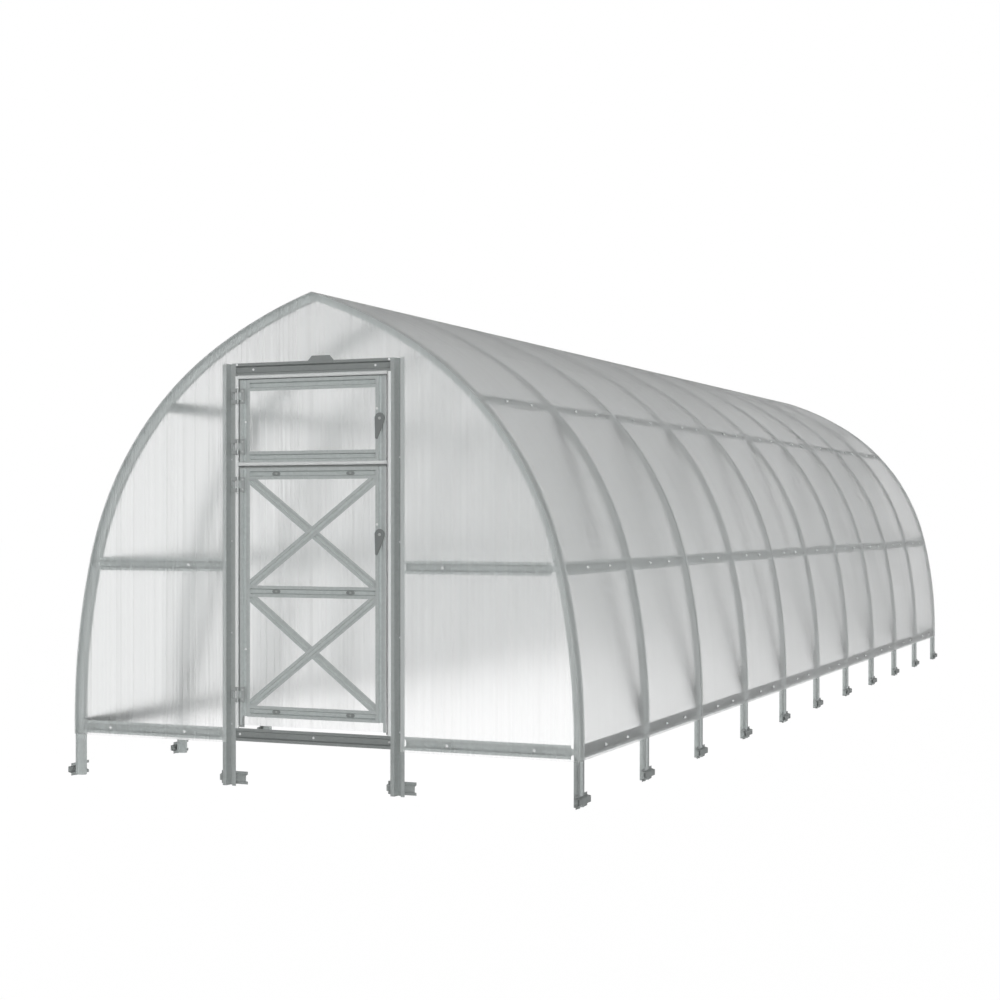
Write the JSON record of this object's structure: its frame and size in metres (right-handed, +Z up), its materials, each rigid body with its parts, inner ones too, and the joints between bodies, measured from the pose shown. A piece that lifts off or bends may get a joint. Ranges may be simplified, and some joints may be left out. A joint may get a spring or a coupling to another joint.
{
  "type": "greenhouse",
  "caption": "Long pointed-arch greenhouse of folded steel arches glazed with twin-wall sheet, with a braced hinged door and a vent hatch in its gable.",
  "frame": {"origin": "centre of the house on the level of the leg feet", "axes": "+Z up, +Y along the house away from the entrance gable, +X to the right seen from the entrance"},
  "size_m": [2.984, 10.16, 2.5801],
  "materials": {
    "galvanised_steel": "dull galvanised",
    "twin_wall_sheet": "clear fluted twin-wall polycarbonate",
    "seal_rubber": "matt light grey"
  },
  "bodies": {
    "frame": {"front_arch": "galvanised_steel", "arch_2": "galvanised_steel", "arch_3": "galvanised_steel", "arch_4": "galvanised_steel", "arch_5": "galvanised_steel", "arch_6": "galvanised_steel", "arch_7": "galvanised_steel", "arch_8": "galvanised_steel", "arch_9": "galvanised_steel", "arch_10": "galvanised_steel", "back_arch": "galvanised_steel", "arch_struts": "galvanised_steel", "side_base_rails": "galvanised_steel", "side_mid_rails": "galvanised_steel", "roof_rails": "galvanised_steel", "ground_anchors": "galvanised_steel", "roof_sheets_left": "twin_wall_sheet", "roof_sheets_right": "twin_wall_sheet", "front_door_posts": "galvanised_steel", "front_header": "galvanised_steel", "front_sill": "galvanised_steel", "front_gable_rails": "galvanised_steel", "front_seals": "seal_rubber", "front_gable_sheet_left": "twin_wall_sheet", "front_gable_sheet_right": "twin_wall_sheet", "front_gable_sheet_top": "twin_wall_sheet", "front_hatch_frame": "galvanised_steel", "front_hatch_sheet": "twin_wall_sheet", "front_hatch_fittings": "galvanised_steel", "front_hinge_brackets": "galvanised_steel", "back_door_posts": "galvanised_steel", "back_header": "galvanised_steel", "back_sill": "galvanised_steel", "back_gable_rails": "galvanised_steel", "back_seals": "seal_rubber", "back_gable_sheet_left": "twin_wall_sheet", "back_gable_sheet_right": "twin_wall_sheet", "back_gable_sheet_top": "twin_wall_sheet", "back_hatch_frame": "galvanised_steel", "back_hatch_sheet": "twin_wall_sheet", "back_hatch_fittings": "galvanised_steel", "back_hinge_brackets": "galvanised_steel", "back_door_frame": "galvanised_steel", "back_door_braces": "galvanised_steel", "back_door_sheet": "twin_wall_sheet", "back_door_fittings": "galvanised_steel"},
    "door": {"door_frame": "galvanised_steel", "door_braces": "galvanised_steel", "door_sheet": "twin_wall_sheet", "door_hinges": "galvanised_steel"},
    "latch": {"door_latch": "galvanised_steel"}
  },
  "joints": [
    {"name": "door_swing", "type": "hinge", "parent": "frame", "child": "door", "pos_m": [-0.4315, -5.058, 1], "axis": [0, 0, -1], "range_deg": [0, 120]},
    {"name": "latch_turn", "type": "hinge", "parent": "door", "child": "latch", "pos_m": [0.399, -5.05, 1.327], "axis": [0, 1, 0], "range_deg": [0, 90]}
  ]
}
